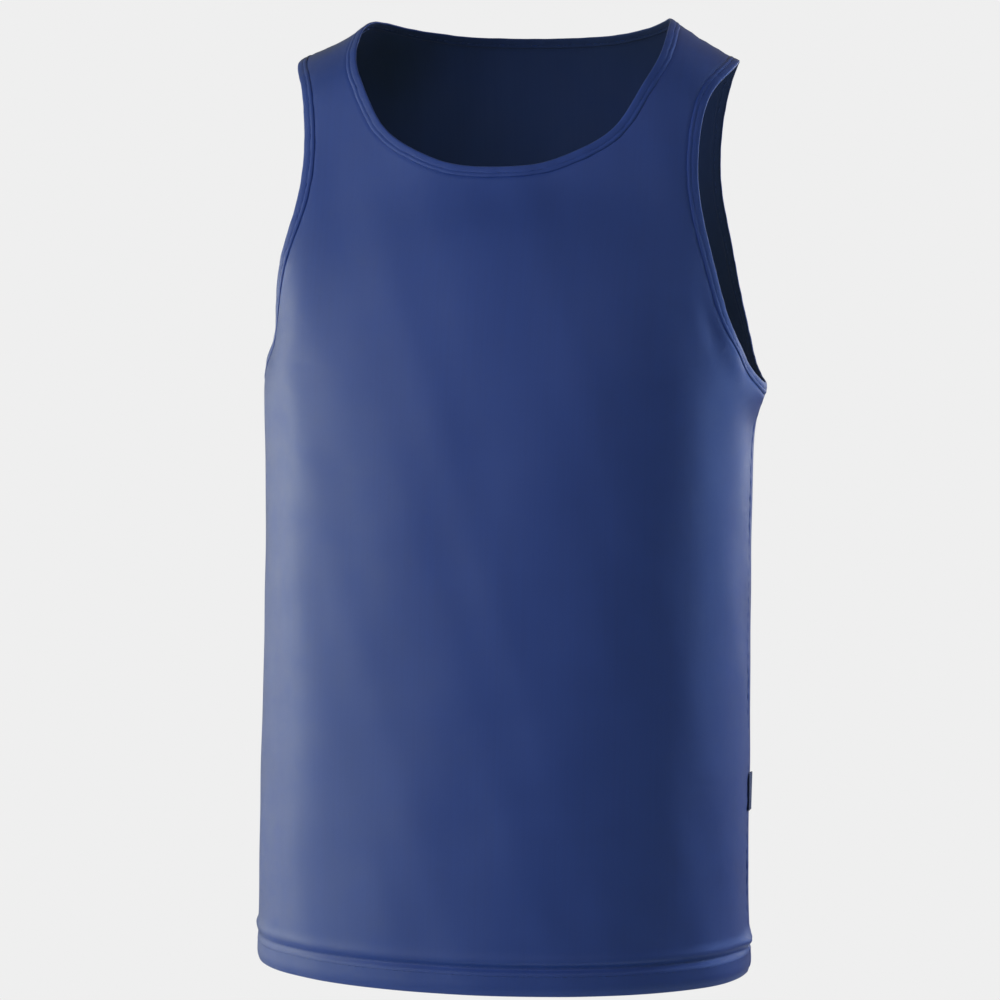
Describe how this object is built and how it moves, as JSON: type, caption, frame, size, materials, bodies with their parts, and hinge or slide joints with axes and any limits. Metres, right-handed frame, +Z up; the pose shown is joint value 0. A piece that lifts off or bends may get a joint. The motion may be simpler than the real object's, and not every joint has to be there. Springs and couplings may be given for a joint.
{
  "type": "running singlet",
  "caption": "Worn-form sleeveless running vest in plain blue sports knit, hollow, with bound round neck and armholes and a turned hem.",
  "frame": {"origin": "on the centre line, midway between the neck ends of the two shoulder seams and level with them to within 4 mm", "axes": "+Z up the body, -Y out of the chest, +X to the wearer's left"},
  "size_m": [0.3775, 0.2797, 0.7029],
  "materials": {
    "jersey": "smooth polyester knit with a soft satin sheen",
    "binding": "folded strip of the same knit, topstitched",
    "tab": "woven tape, blank"
  },
  "bodies": {
    "root": {"front_panel": "jersey", "back_panel": "jersey", "neck_binding": "binding", "armhole_binding_left": "binding", "armhole_binding_right": "binding", "side_tab": "tab"}
  },
  "joints": []
}
